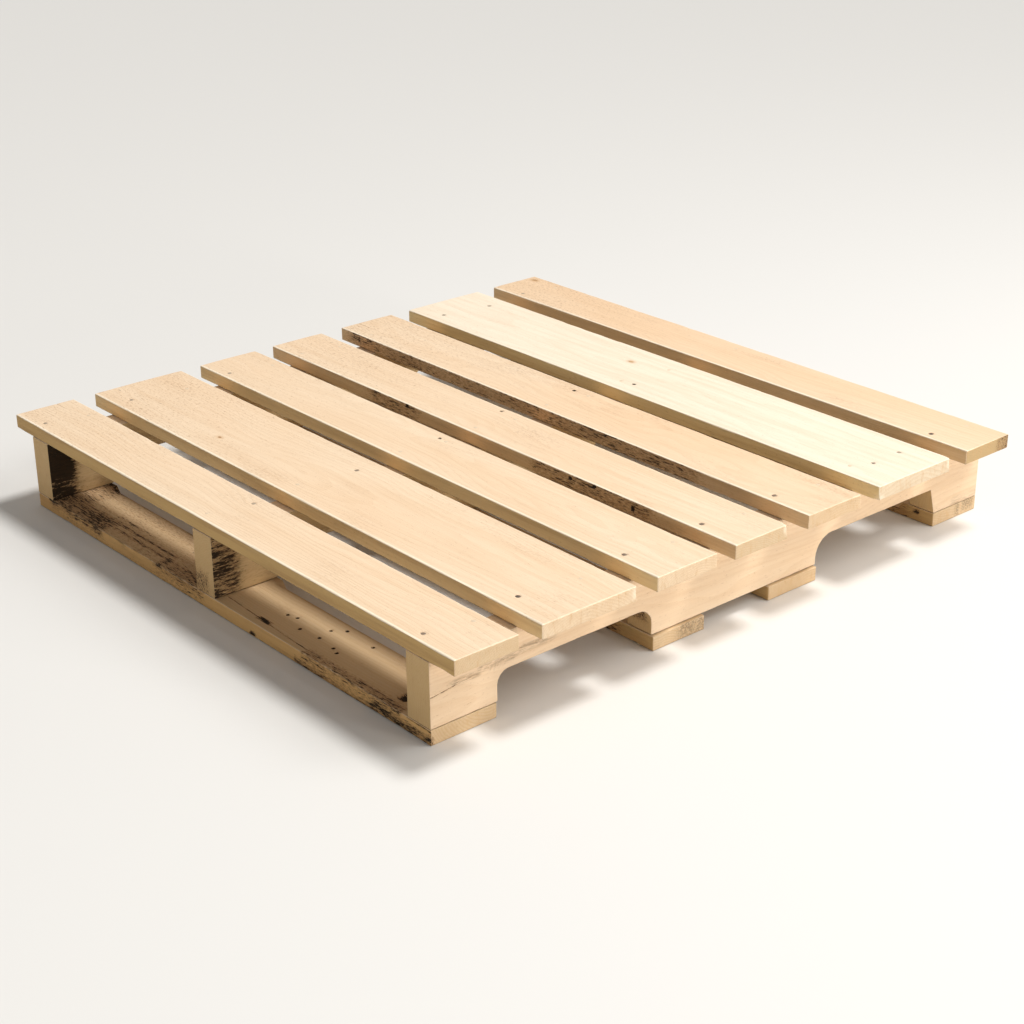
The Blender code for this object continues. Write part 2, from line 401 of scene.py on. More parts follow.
def notch_corners(notch, bottom):
    """A notch's outline from its front foot to its back foot: (place, height, place on the top edge).

    The place on the top edge is where the grid line that starts there ends. It leans away from the notch.
    """
    front, back = notch["front"], notch["back"]
    front_radius, back_radius = notch["front_radius"], notch["back_radius"]
    roof_back = back - notch["slant"]
    foot = arc((front - FOOT_CORNER, bottom + FOOT_CORNER), FOOT_CORNER, -90, 90, FOOT_STEPS)
    roof = arc((front + front_radius, NOTCH_ROOF - front_radius), front_radius, 180, -90, ROOF_STEPS)
    rear = arc((roof_back - back_radius, NOTCH_ROOF - back_radius), back_radius, 90, -90, ROOF_STEPS)
    heel = arc((back + FOOT_CORNER, bottom + FOOT_CORNER), FOOT_CORNER, 180, 90, FOOT_STEPS)
    near, far = FOOT_LEAN
    lean = ((foot, front - far, front - near), (roof, front - ROOF_LEAN, front + front_radius),
            (rear, roof_back - back_radius, roof_back + ROOF_LEAN), (heel, back + near, back + far))
    corners = []
    for points, first, last in lean:
        tops = np.linspace(first, last, len(points))
        corners.extend((place, height, top) for (place, height), top in zip(points, tops))
    return corners


def notched_foot(low, high, bottom, spacing, reach):
    """The underside of a notched timber, from end to end, as lists for its grid lines.

    place and height: the line's lower end. normal_along and normal_up: the way into the wood there.
    top: where the line meets the top edge.
    """
    corners = [(low + reach, bottom, low + reach)]
    for notch in NOTCHES:
        corners.extend(notch_corners(notch, bottom))
    corners.append((high - reach, bottom, high - reach))
    path = []
    for start, end in zip(corners, corners[1:]):
        length = math.dist(start[:2], end[:2])
        count = max(1, round(length / spacing))
        path.extend(tuple(s + (e - s) * step / count for s, e in zip(start, end)) for step in range(count))
    path.append(corners[-1])
    path = np.array([(low, bottom, low)] * 3 + path + [(high, bottom, high)] * 3)
    ahead = np.roll(path, -1, axis=0)[:, :2] - path[:, :2]
    behind = path[:, :2] - np.roll(path, 1, axis=0)[:, :2]
    turn = unit(ahead) + unit(behind)
    turn[:4] = turn[-4:] = (1.0, 0.0)
    turn = unit(turn)
    return {"place": path[:, 0], "height": path[:, 1], "top": path[:, 2],
            "normal_along": -turn[:, 1], "normal_up": turn[:, 0]}


def unit(vectors):
    """Each row at length 1."""
    return vectors / np.maximum(np.linalg.norm(vectors, axis=1, keepdims=True), 1e-9)


# --- materials ---

class Shader:
    """Short calls that add and wire the nodes of one material, textured at a place on its piece or plain."""

    def __init__(self, name, textured=True):
        self.material = bpy.data.materials.new(name)
        self.material.use_nodes = True
        self.nodes = self.material.node_tree.nodes
        self.links = self.material.node_tree.links
        self.surface = self.nodes["Principled BSDF"]
        self.place = self.add("TexCoord").outputs["Object"] if textured else None
        self.colour = None

    def add(self, kind, inputs=None, **settings):
        node = self.nodes.new("ShaderNode" + kind)
        for key, value in settings.items():
            setattr(node, key, value)
        for key, value in (inputs or {}).items():
            self.put(node.inputs[key], value)
        return node

    def put(self, socket, value):
        if isinstance(value, bpy.types.NodeSocket):
            self.links.new(value, socket)
        else:
            socket.default_value = value

    def math(self, operation, first, second=0.0, third=0.0):
        node = self.add("Math", operation=operation)
        for socket, value in zip(node.inputs, (first, second, third)):
            self.put(socket, value)
        return node.outputs[0]

    def times(self, first, second, plus=None):
        """first times second, and plus added where it is given."""
        if plus is None:
            return self.math("MULTIPLY", first, second)
        return self.math("MULTIPLY_ADD", first, second, plus)

    def vector(self, operation, first, second=(0.0, 0.0, 0.0)):
        node = self.add("VectorMath", operation=operation)
        self.put(node.inputs[0], first)
        self.put(node.inputs[1], second)
        return node.outputs["Value" if operation == "LENGTH" else "Vector"]

    def noise(self, stretch, detail=2.0, roughness=0.5):
        """Noise from 0 to 1 at place. stretch is how many features fit in a metre along each axis."""
        inputs = {"Scale": 1.0, "Detail": detail, "Roughness": roughness,
                  "Vector": self.vector("MULTIPLY", self.place, stretch)}
        return self.add("TexNoise", inputs).outputs["Fac"]

    def between(self, value, low, high, to_low=0.0, to_high=1.0, smooth=True):
        """to_low where the value is low, to_high where it is high, and a passage between."""
        inputs = {"Value": value, "From Min": low, "From Max": high, "To Min": to_low, "To Max": to_high}
        kind = "SMOOTHSTEP" if smooth else "LINEAR"
        return self.add("MapRange", inputs, interpolation_type=kind).outputs["Result"]

    def mix(self, share, first, second):
        """A share of the second colour over the first."""
        node = self.add("Mix", data_type="RGBA")
        for name, value in (("Factor", share), ("A", first), ("B", second)):
            socket = next(s for s in node.inputs if s.name == name and s.enabled)
            self.put(socket, (*value, 1.0) if isinstance(value, tuple) else value)
        return next(s for s in node.outputs if s.enabled)

    def coat(self, share, colour):
        """Lay a share of a colour over the colour so far."""
        self.colour = self.mix(share, self.colour, colour)

    def out(self, name, value):
        """Give the surface one of its inputs."""
        self.put(self.surface.inputs[name], value)

    def bump(self, height, strength, distance):
        inputs = {"Height": height, "Strength": strength, "Distance": distance}
        self.out("Normal", self.add("Bump", inputs).outputs["Normal"])

    def attribute(self, name):
        return self.add("Attribute", attribute_name=name).outputs["Fac"]


# Colours, from bleached wood to dirt and metal; some of them also paint shade and highlights
CREAM = (0.880, 0.790, 0.650)
PALE = (0.830, 0.690, 0.520)
PEACH = (0.800, 0.585, 0.390)
LATE = (0.560, 0.330, 0.150)
TAN = (0.600, 0.390, 0.155)
STRAW = (0.800, 0.590, 0.235)
RUSSET = (0.770, 0.460, 0.168)
AGED = (0.430, 0.290, 0.126)
KNOT = (0.290, 0.135, 0.050)
GRIME_AND_SHADE = (0.014, 0.009, 0.005)
SOIL_AND_SHADE = (0.130, 0.078, 0.038)
BARE_AND_HIGHLIGHT = (0.960, 0.860, 0.700)
DARK_RIND_AND_SHADE = (0.050, 0.030, 0.015)
RUST = (0.120, 0.045, 0.018)
STEEL = ((0.060, 0.052, 0.046), (0.130, 0.115, 0.100))
DUST_AND_SHEEN = ((0.680, 0.530, 0.370), (0.780, 0.630, 0.460))


def wood(name, timber, looks, end):
    """Sawn softwood whose rings, fibres and knots run through the whole timber.

    looks holds, by name: pith, the middle of the tree, across and up from the timber's centre; ring, the
    ring spacing; knots (along, across, radius); tone, from 0 pale to 1 peach; pallor, how bleached it is;
    contrast, how much darker the late wood is; dirt, how dark its freckles are; aged, how far all of it
    has darkened; flank, how much the sawn sides take on another colour, and which: the sawn wood's tint together
    with painted shade on the sides that face forward. end says so of the ends.
    """
    ring, tone, flank = looks["ring"], looks["tone"], looks["flank"]
    knots, aged = looks.get("knots", ()), looks.get("aged", 0.0)
    shader = Shader(name)
    centre = (timber.low + timber.high) / 2
    turned = math.pi / 2 if timber.flipped else 0.0
    world_centre = [centre[axis] for axis in timber.order]
    inputs = {"Vector": shader.place, "Location": world_centre, "Rotation": (0.0, 0.0, turned)}
    place = shader.add("Mapping", inputs, vector_type="TEXTURE").outputs["Vector"]
    shift = (timber.seed * 1.7, timber.seed * 0.9, timber.seed * 2.3)
    shader.place = shader.vector("ADD", place, shift)

    # Rings: distance from the pith, wandering along the timber and bulging around knots
    wander = shader.math("SUBTRACT", shader.noise((1.3, 5.0, 5.0), 3.0), 0.5)
    drift = shader.math("SUBTRACT", shader.noise((4.5, 16.0, 16.0), 2.0), 0.5)
    offset = shader.vector("SUBTRACT", place, (0.0, *looks["pith"]))
    radial = shader.vector("LENGTH", shader.vector("MULTIPLY", offset, (0.012, 1.0, 1.0)))
    radial = shader.times(wander, 0.070, radial)
    radial = shader.times(drift, 0.010, radial)
    flat = shader.vector("MULTIPLY", place, (1.0, 1.0, 0.0))
    knot_core = knot_halo = 0.0
    for along, across, radius in knots:
        apart = shader.vector("SUBTRACT", flat, (along, across, 0.0))
        apart = shader.vector("LENGTH", shader.vector("MULTIPLY", apart, (0.62, 1.0, 0.0)))
        apart = shader.math("DIVIDE", apart, radius)
        squared = shader.times(apart, apart)
        bulge = shader.math("EXPONENT", shader.times(squared, -0.16))
        radial = shader.times(bulge, radius * 2.2, radial)
        ragged = shader.times(drift, 1.6, apart)
        knot_core = shader.math("MAXIMUM", shader.between(ragged, 1.15, 0.75), knot_core)
        knot_halo = shader.math("MAXIMUM", shader.between(ragged, 2.6, 0.9), knot_halo)
    phase = shader.math("FRACT", shader.math("DIVIDE", radial, ring))
    late = shader.times(shader.between(phase, 0.25, 0.90), shader.between(phase, 1.0, 0.94))

    # Fibres, pores and broad tone
    fibre = shader.noise((14.0, 420.0, 420.0), 3.0, 0.6)
    streak = shader.noise((3.0, 70.0, 70.0), 3.0, 0.6)
    pore = shader.between(shader.noise((60.0, 1500.0, 1500.0), 1.0), 0.68, 0.80)
    broad = shader.noise((1.6, 7.0, 7.0), 2.0)
    on_end, on_flank, worn, grime, bark = map(shader.attribute, ("end", "flank", "worn", "grime", "bark"))

    tint = shader.between(broad, 0.30, 0.70, tone - 0.30, tone + 0.30, smooth=False)
    shader.colour = shader.mix(looks.get("pallor", 0.0), shader.mix(tint, PALE, PEACH), CREAM)
    strength = shader.times(on_end, 0.12, looks["contrast"])
    shader.coat(shader.times(late, strength), LATE)
    shader.coat(shader.between(streak, 0.35, 0.75, 0.0, 0.17), LATE)
    shader.coat(shader.between(fibre, 0.30, 0.75, 0.10, -0.02, smooth=False), LATE)
    shader.coat(shader.times(pore, 0.16), KNOT)
    if knots:
        shader.coat(shader.times(knot_halo, 0.45), LATE)
        knot_rings = shader.math("FRACT", shader.math("DIVIDE", radial, ring * 0.35))
        knot_tone = shader.mix(shader.between(knot_rings, 0.3, 0.9), LATE, KNOT)
        shader.coat(shader.times(knot_core, 0.8), knot_tone)

    # Old wood, sawn sides and end grain are darker, the forward sawn sides partly through painted shade; worn
    # edges are pale, and along the upper edges that pale is a painted highlight
    smear = shader.between(shader.noise((3.5, 30.0, 90.0), 4.0, 0.6), 0.40, 0.72)
    smear = shader.times(on_flank, shader.times(smear, 0.45 * flank[0]))
    shader.coat(shader.times(on_end, -0.25 * aged, aged), AGED)
    shader.coat(shader.times(on_flank, flank[0]), flank[1])
    shader.coat(smear, KNOT)
    shader.coat(shader.times(on_end, end[0]), end[1])
    torn = shader.between(shader.noise((60.0, 150.0, 42.0), 4.0, 0.68), 0.50, 0.72, 0.0, 0.42)
    shader.coat(shader.times(on_end, torn), LATE)
    shader.coat(shader.times(worn, 0.75), BARE_AND_HIGHLIGHT)

    # Dirt: faint freckles all over, and streaks along the grain where the timber is soiled. The same black
    # streaks and the brown rind also carry painted shade
    speckle = shader.noise((130.0, 420.0, 420.0), 4.0, 0.65)
    streaks = shader.noise((52.0, 340.0, 340.0), 4.0, 0.72)
    freckled = shader.between(shader.noise((5.0, 14.0, 14.0), 4.0, 0.6), 0.50, 0.80)
    freckled = shader.times(freckled, shader.between(speckle, 0.42, 0.62))
    shader.coat(shader.times(freckled, looks["dirt"]), KNOT)
    freckles = shader.between(shader.times(grime, 0.55, speckle), 0.60, 0.76, 0.0, 0.45)
    shader.coat(freckles, KNOT)
    cover = shader.math("MAXIMUM", shader.times(streaks, 1.5, -1.03),
                        shader.times(speckle, 1.3, -1.02))
    cover = shader.between(shader.times(grime, 0.66, cover), 0.0, 0.20, 0.0, 0.97)
    shader.coat(cover, shader.mix(shader.between(cover, 0.25, 0.85), SOIL_AND_SHADE, GRIME_AND_SHADE))
    shader.coat(shader.times(bark, shader.between(streaks, 0.38, 0.58)), DARK_RIND_AND_SHADE)
    shader.out("Base Color", shader.colour)

    # Relief and gloss
    saw = shader.noise((330.0, 14.0, 30.0), 2.0)
    relief = shader.times(fibre, 0.9, shader.times(saw, 0.35))
    relief = shader.times(late, 0.35, relief)
    relief = shader.times(pore, -0.5, relief)
    relief = shader.times(bark, shader.times(speckle, 2.5), relief)
    shader.bump(relief, 0.55, 0.7 * MM)
    gloss = shader.between(fibre, 0.3, 0.7, 0.80, 0.64)
    shader.out("Roughness", shader.math("MAXIMUM", gloss, cover))
    shader.out("Specular IOR Level", 0.28)
    return shader.material


def nail_steel():
    """Wire-nail steel: dark and rusty where its points' tarnish is 1, pale where it is 0, a dust colour that
    also paints the bright sheen of clean heads.
    """
    shader = Shader("nail_steel_worn")
    tarnish = shader.attribute("tarnish")
    rust = shader.between(shader.noise((260.0, 260.0, 260.0), 4.0, 0.6), 0.45, 0.62)
    grain = shader.noise((1500.0, 1500.0, 1500.0), 2.0)
    rusted = shader.mix(rust, shader.mix(grain, *STEEL), RUST)
    colour = shader.mix(tarnish, shader.mix(grain, *DUST_AND_SHEEN), rusted)
    shader.out("Base Color", colour)
    shader.out("Metallic", shader.times(tarnish, shader.between(rust, 0.0, 1.0, 0.70, 0.10)))
    shader.out("Roughness", shader.between(rust, 0.0, 1.0, 0.42, 0.85))
    shader.bump(grain, 0.4, 0.2 * MM)
    return shader.material


# --- nails ---

NAIL_SIDES = 16
HEAD_RADIUS = 3.6 * MM
HEAD_THICKNESS = 1.3 * MM
SHANK_RADIUS = 1.5 * MM
RING_DEPTH = 0.18 * MM
RING_STEP = 1.6 * MM
RINGED = (14.0 * MM, 46.0 * MM)
POINT_LENGTH = 5.0 * MM
DECK_NAIL = 64 * MM
BOTTOM_NAIL = 60 * MM
NAIL_TILT = 1.5  # degrees
SHARP_ANGLE = 40.0  # degrees
FULL_TURN = 6.28  # radians


def nail_profile(length):
    """Radius and depth below the head's top, from the head to the point."""
    profile = [(0.55 * HEAD_RADIUS, 0.0), (0.86 * HEAD_RADIUS, 0.08 * MM), (HEAD_RADIUS, 0.35 * MM),
               (HEAD_RADIUS, 0.95 * MM), (0.9 * HEAD_RADIUS, HEAD_THICKNESS), (SHANK_RADIUS, 2.1 * MM)]
    depth = RINGED[0]
    while depth < min(RINGED[1], length - POINT_LENGTH):
        profile.append((SHANK_RADIUS, depth))
        profile.append((SHANK_RADIUS - RING_DEPTH, depth + RING_STEP * 0.3))
        depth += RING_STEP
    profile.append((SHANK_RADIUS, length - POINT_LENGTH))
    profile.append((0.1 * MM, length))
    return profile


def add_nail(points, faces, at, up, length, tilt, spin):
    """One turned nail with the middle of its head at a place. up is 1 where the head looks up, or -1."""
    first = len(points)
    profile = nail_profile(length)
    turn = Matrix.Rotation(tilt, 3, "X") @ Matrix.Rotation(spin, 3, "Z")
    flip = Matrix.Diagonal((1.0, 1.0, 1.0)) if up > 0 else Matrix.Rotation(math.pi, 3, "X")
    pose = Matrix.Rotation(spin, 3, "Z") @ turn @ flip
    points.append(Vector(at))
    for radius, depth in profile:
        for side in range(NAIL_SIDES):
            angle = 2 * math.pi * side / NAIL_SIDES
            local = Vector((radius * math.cos(angle), radius * math.sin(angle), -depth))
            points.append(Vector(at) + pose @ local)
    points.append(Vector(at) + pose @ Vector((0.0, 0.0, -length - 0.1 * MM)))
    last = len(points) - 1
    rows = len(profile)
    for side in range(NAIL_SIDES):
        after = (side + 1) % NAIL_SIDES
        faces.append((first, first + 1 + side, first + 1 + after))
        for row in range(rows - 1):
            upper = first + 1 + row * NAIL_SIDES
            lower = upper + NAIL_SIDES
            faces.append((upper + side, lower + side, lower + after, upper + after))
        bottom = first + 1 + (rows - 1) * NAIL_SIDES
        faces.append((bottom + side, last, bottom + after))


def make_nails(name, places, up, length, tarnish, steel, dice):
    """The nails of one board as one piece. tarnish has a value for each nail."""
    points, faces, values = [], [], []
    for at, value in zip(places, tarnish):
        tilt = math.radians(dice.uniform(-NAIL_TILT, NAIL_TILT))
        add_nail(points, faces, at, up, length, tilt, dice.uniform(0.0, FULL_TURN))
        values.extend([value] * (len(points) - len(values)))
    piece = add_mesh(name, [tuple(point) for point in points], faces, steel)
    piece.data.attributes.new("tarnish", "FLOAT", "POINT").data.foreach_set("value", values)
    piece.data.shade_smooth()
    piece.data.set_sharp_from_angle(angle=math.radians(SHARP_ANGLE))
    return piece


# --- the pallet's pieces ---

def around(places, axis, offsets):
    """Grid marks at the given distances on both sides of each place, along one of its axes."""
    return [place[axis] + sign * offset for place in places for offset in offsets for sign in (-1, 1)]


DIMPLE_RADIUS = 6.5 * MM
DIMPLE_DEPTH = 0.8 * MM
DIMPLE_MARKS = (1.2 * MM, 2.8 * MM, 4.4 * MM, 6.6 * MM)


def nail_places(number):
    """Where the CAD nails of one deckboard have the middle of their heads' tops, by node name."""
    places = {}
    for side in SIDES:
        for letter in "ab":
            name = f"nail_{number}_{side}_{letter}"
            low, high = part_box(name)
            places[name] = ((low.x + high.x) / 2, (low.y + high.y) / 2, high.z)
    return places


# Per deckboard, what wood() reads, and: end_share, how dark the ends are; splits (across, end, length);
# corners, the knocked ones (along, across and up, each -1 to 1); pins, small dark marks (along, across,
# how dark); stain, of the right end (from and to, across); bruises of the front face (along, up) and its
# mottled stretches (from and to, along, how dirty); nails, how dark some are, where others are pale with dust
# and a painted sheen
DUSTY_SHEEN = 0.06
DECK_LOOKS = {
    1: dict(pith=(0.070, -0.11), ring=0.0040, tone=0.55, contrast=0.09, dirt=0.25,
        flank=(1.00, TAN), end_share=0.46, splits=((0.021, -1, 0.030),),
        nails=dict(left_a=0.55, middle_b=0.45, right_a=0.75)),
    2: dict(pith=(-0.020, -0.09), ring=0.0044, tone=0.48, contrast=0.08, dirt=0.30,
        flank=(0.54, STRAW), end_share=0.21, knots=((-0.265, -0.038, 0.003),),
        corners=((1, 1, 0.2),), nails=dict(left_a=0.55, middle_b=0.65, right_a=0.90)),
    3: dict(pith=(0.030, -0.14), ring=0.0036, tone=0.45, contrast=0.09, dirt=0.20,
        flank=(0.54, STRAW), end_share=0.22, pins=((-0.022, 0.041, 0.58),),
        nails=dict(left_a=0.5, right_a=0.80)),
    4: dict(pith=(-0.045, -0.10), ring=0.0038, tone=0.60, contrast=0.10, dirt=0.30,
        flank=(0.58, TAN), end_share=0.48, pins=((-0.048, 0.043, 0.70),),
        corners=((1, 1, 0.5),), mottled=((-0.270, -0.170, 0.47), (0.160, 0.390, 0.43)),
        bruises=((-0.181, 0.147), (0.230, 0.143), (0.285, 0.146), (0.370, 0.138)),
        nails=dict(right_a=0.80)),
    5: dict(pith=(0.015, -0.12), ring=0.0038, tone=0.70, contrast=0.11, dirt=0.40,
        flank=(0.52, TAN), end_share=0.38, pins=((-0.039, 0.039, 0.76),),
        splits=((-0.020, -1, 0.050),), mottled=((-0.540, 0.340, 0.41),), nails=dict(right_a=0.80)),
    6: dict(pith=(0.005, -0.16), ring=0.0060, tone=0.10, contrast=0.07, dirt=0.08,
        flank=(0.74, STRAW), end_share=0.40, pallor=0.75, knots=((-0.080, 0.026, 0.004),),
        corners=((1, 1, 0.4), (1, -1, -1)), pins=((0.007, -0.051, 0.62), (0.515, -0.020, 0.50)),
        nails=dict(left_a=0.6, left_b=0.6, right_b=0.5)),
    7: dict(pith=(-0.060, -0.09), ring=0.0036, tone=0.88, contrast=0.12, dirt=0.35,
        flank=(0.50, TAN), end_share=0.85, knots=((-0.562, 0.038, 0.004),),
        stain=(0.030, 0.055), nails=dict(left_a=0.5, right_a=1.0)),
}
ARRIS_WIDTH = 3.6 * MM
ARRIS_HIGHLIGHT = 0.8
SPLIT_WIDTH = 0.6 * MM
SPLIT_DEPTH = 3.0 * MM
SPLIT_MARKS = (0.0, 0.5 * MM, 1.2 * MM)
CORNER_BITE = 13 * MM
CORNER_DEPTH = 3.5 * MM
PIN_RADIUS = 5.0 * MM
PIN_DEPTH = 0.6 * MM
PIN_MARKS = (1.0 * MM, 2.6 * MM, 4.4 * MM)
BRUISE_RADIUS = 6.5 * MM
BRUISE_DEPTH = 1.2 * MM
BRUISE_MARKS = (0.0, 2.5 * MM, 5.0 * MM)
BRUISE_LEVELS = (0.1365, 0.1395, 0.1425, 0.1450)
FILM = 0.17  # the faint dirt of the deck's left part, and where it thins out
FILM_FADE = (0.10, 0.60)


def make_deckboard(number, steel, dice):
    """One deckboard with its six nails."""
    node = f"top_board_{number}"
    looks = DECK_LOOKS[number]
    low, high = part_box(node)
    middle = (low.y + high.y) / 2
    nails = nail_places(number)
    pins = [(place, middle + offset, dark) for place, offset, dark in looks.get("pins", ())]
    board = Timber(low, high, "X", seed=number, marks=deck_marks(looks, low.y, middle, nails, pins))
    board.crown(dice.uniform(0.2, 0.5) * MM)
    board.weather()
    board.wear_edges()
    # Painted highlight: a pale line along the top front edge
    board.paint_arris_highlight(ARRIS_WIDTH, ARRIS_HIGHLIGHT)
    # Nails not listed are pale: dust, and a painted sheen standing in for the light off their heads
    tarnish = [looks["nails"].get(name.split("_", 2)[2], DUSTY_SHEEN) for name in nails]
    for place, dark in zip(nails.values(), tarnish):
        board.dimple(place, DIMPLE_RADIUS, DIMPLE_DEPTH * (0.4 + 0.6 * dark), dirt=0.52 * dark)
    damage_deckboard(board, looks, middle, pins)
    dirty_deckboard(board, looks, middle)
    material = wood(f"deck_wood_{number}", board, looks, end=(looks["end_share"], AGED))
    declare(board.finish(f"deckboard_{number}", material), "deck_wood", node)
    piece = make_nails(f"deck_nails_{number}", nails.values(), 1, DECK_NAIL, tarnish, steel, dice)
    declare(piece, "nail_steel", *nails)


def deck_marks(looks, front, middle, nails, pins):
    """The extra grid lines of a deckboard along, across and up, where its small marks are."""
    nails, bruises = nails.values(), looks.get("bruises", ())
    splits = [(0.0, middle + split[0]) for split in looks.get("splits", ())]
    along = around(nails, 0, DIMPLE_MARKS) + around(pins, 0, PIN_MARKS) + around(bruises, 0, BRUISE_MARKS)
    across = around(nails, 1, DIMPLE_MARKS) + around(pins, 1, PIN_MARKS) + around(splits, 1, SPLIT_MARKS)
    across += [front + ARRIS_WIDTH, front + 1.5 * ARRIS_WIDTH]
    return along, across, BRUISE_LEVELS if bruises else ()


def damage_deckboard(board, looks, middle, pins):
    """Splits, knocked corners, small dark marks and bruises."""
    for offset, end, length in looks.get("splits", ()):
        board.split(middle + offset, end, length, SPLIT_WIDTH, SPLIT_DEPTH)
    for corner in looks.get("corners", ()):
        centre = (board.low + board.high) / 2
        board.chip(centre + np.array(corner) * (board.high - board.low) / 2, CORNER_BITE, CORNER_DEPTH)
    for pin in pins:
        board.dimple(pin, PIN_RADIUS, PIN_DEPTH, dirt=pin[2])
    for bruise in looks.get("bruises", ()):
        board.knock(*bruise, BRUISE_RADIUS, BRUISE_DEPTH)


def dirty_deckboard(board, looks, middle):
    """A stained right end, mottled stretches of the front face and a film on the left part of the top."""
    if "stain" in looks:
        board.soil_and_shade(0.47, 0.012, 0.25, LAST_END, across=[middle + offset for offset in looks["stain"]])
    for start, stop, strength in looks.get("mottled", ()):
        board.soil_and_shade(strength, 0.050, face=FRONT, along=(start, stop))
    left_part = 1.0 - ease(*FILM_FADE, board.along - board.low[0])
    film = FILM * min(1.0, 3.0 * looks["dirt"]) * left_part * board.faces(TOP)
    board.raise_to("grime", film)


def declare(piece, slot, *nodes):
    """Let a piece move with the root body and hide the CAD nodes that it stands for. slot is not used."""
    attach(piece, "root")
    if nodes:
        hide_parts(*nodes)


# Per stringer, what wood() reads, and dark, how black the painted shadow on its right side is near its front
# end. The right sides of the left and middle stringers lie in shade and take more of the side colour, partly as
# painted shade
STRINGER_LOOKS = {
    "left": dict(pith=(0.030, -0.13), ring=0.0040, tone=0.55, contrast=0.16, dirt=0.45,
        flank=(0.50, STRAW), dark=0.95),
    "middle": dict(pith=(-0.050, -0.10), ring=0.0038, tone=0.60, contrast=0.18, dirt=0.60,
        flank=(0.50, STRAW), dark=0.66),
    "right": dict(pith=(-0.120, -0.05), ring=0.0044, tone=0.50, contrast=0.12, dirt=0.12,
        flank=(0.09, TAN), dark=0.0),
}
STRINGER_END = (0.80, TAN)
STRINGER_SPACING = (0.009, 0.008, 0.008)
SHADE_STRETCH = 0.030

# The right stringer's crack (along, up), the stains that carry it on (from and to along, height), and the
# extra grid lines that both need
CRACK = ((-0.5815, 0.0712), (-0.5350, 0.0765))
CRACK_STAINS = ((-0.545, -0.500, 0.078), (-0.495, -0.435, 0.083), (-0.430, -0.360, 0.088))
STAIN_HEIGHT = 4 * MM
CRACK_LEVELS = (*spread(0.069, 0.079, 0.8 * MM), 0.082, 0.085, 0.088, 0.091, 0.094)


def make_stringer(side, seed):
    """One notched stringer."""
    node = f"stringer_{side}"
    looks = STRINGER_LOOKS[side]
    low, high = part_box(node)
    reach = 3.0 * MM
    foot = notched_foot(low.y, high.y, low.z, STRINGER_SPACING[0], reach)
    levels = CRACK_LEVELS if side == "right" else ()
    stringer = Timber(low, high, "Y", seed=seed, spacing=STRINGER_SPACING, marks=((), (), levels),
                      wear=1.3 * MM, reach=reach, foot=foot)
    stringer.weather(rough=0.16 * MM, wave=0.4 * MM)
    stringer.wear_edges(width=3 * MM, depth=0.4 * MM, arris_highlight=0.45)
    dark = looks["dark"]
    # Painted shadow: the right side turns black near its front end, where the front feet of the stringers to its
    # right block the light
    stringer.soil_and_shade(dark, 0.034, 0.7 * dark, REAR, along=(low.y, low.y + SHADE_STRETCH))
    if side == "middle":
        stringer.soil_and_shade(0.42, face=FIRST_END, along=(low.y, low.y), across=(low.x, high.x - 0.020),
                      up=(low.z, low.z + 0.030))
    if side == "right":
        mark_right_stringer(stringer)
    material = wood(f"stringer_wood_{side}", stringer, looks, STRINGER_END)
    declare(stringer.finish(f"notched_stringer_{side}", material), "stringer_wood", node)


def mark_right_stringer(stringer):
    """Its crack, the stains beside that and on the back foot, and painted shade in the front notch."""
    low, high = stringer.low, stringer.high
    stringer.score(*CRACK, across_axis=2, face=REAR, width=1.2 * MM, depth=1.3 * MM)
    for start, stop, height in CRACK_STAINS:
        stringer.soil_and_shade(0.10, 0.006, 0.42, REAR, along=(start, stop), up=(height, height + STAIN_HEIGHT))
    stringer.soil_and_shade(0.0, bark=0.26, along=(high[0] - 0.060, high[0]), across=(high[1] - SKIN, high[1]),
                  up=(low[2], low[2] + 0.006))
    # Painted shade: the back wall and roof of the front notch are darkened, where the notch lies in shade
    stringer.soil_and_shade(0.55, 0.010, along=(-0.215, -0.165), across=(low[1], high[1] - 0.012), up=(0.045, 0.070))


# Per bottom board, what wood() reads, and: chamfer, 1 where the back top edge has one and -1 the front;
# mottled, a dirty stretch of the front face (from and to, along); end_soil, stains of the right end (from
# and to across, height, how wide they fade out); bruise of the front face (along, up, radius, depth)
BOTTOM_LOOKS = {
    "front": dict(pith=(0.060, 0.09), ring=0.0040, tone=0.75, contrast=0.20, dirt=0.50,
        aged=0.60, flank=(0.85, RUSSET), chamfer=1),
    "centre_front": dict(pith=(-0.030, -0.12), ring=0.0042, tone=0.60, contrast=0.16, dirt=0.40,
        aged=0.55, flank=(0.85, TAN), knots=((0.240, 0.010, 0.007),),
        mottled=(0.330, 0.450), end_soil=((-0.112, -0.071, 0.014, 0.026),)),
    "centre_back": dict(pith=(0.050, -0.10), ring=0.0040, tone=0.60, contrast=0.16, dirt=0.40,
        aged=0.55, flank=(0.85, TAN), knots=((-0.300, -0.020, 0.006),)),
    "back": dict(pith=(-0.060, -0.14), ring=0.0042, tone=0.65, contrast=0.16, dirt=0.45,
        aged=0.55, flank=(0.85, TAN), chamfer=-1, mottled=(0.330, 0.470),
        end_soil=((0.531, 0.535, 0.005, 0.006), (0.552, 0.570, 0.012, 0.010)),
        bruise=(0.495, 0.0155, 9.0 * MM, 1.5 * MM)),
}
BOTTOM_END = (0.10, TAN)
BOTTOM_SPACING = (0.008, 0.007, 0.006)
BOTTOM_TARNISH = 0.8
BOTTOM_NAIL_INSET = 26 * MM
NAIL_STAGGER = 8 * MM
NAIL_SCATTER = 3 * MM
BOTTOM_HEAD_HEIGHT = 0.7 * MM


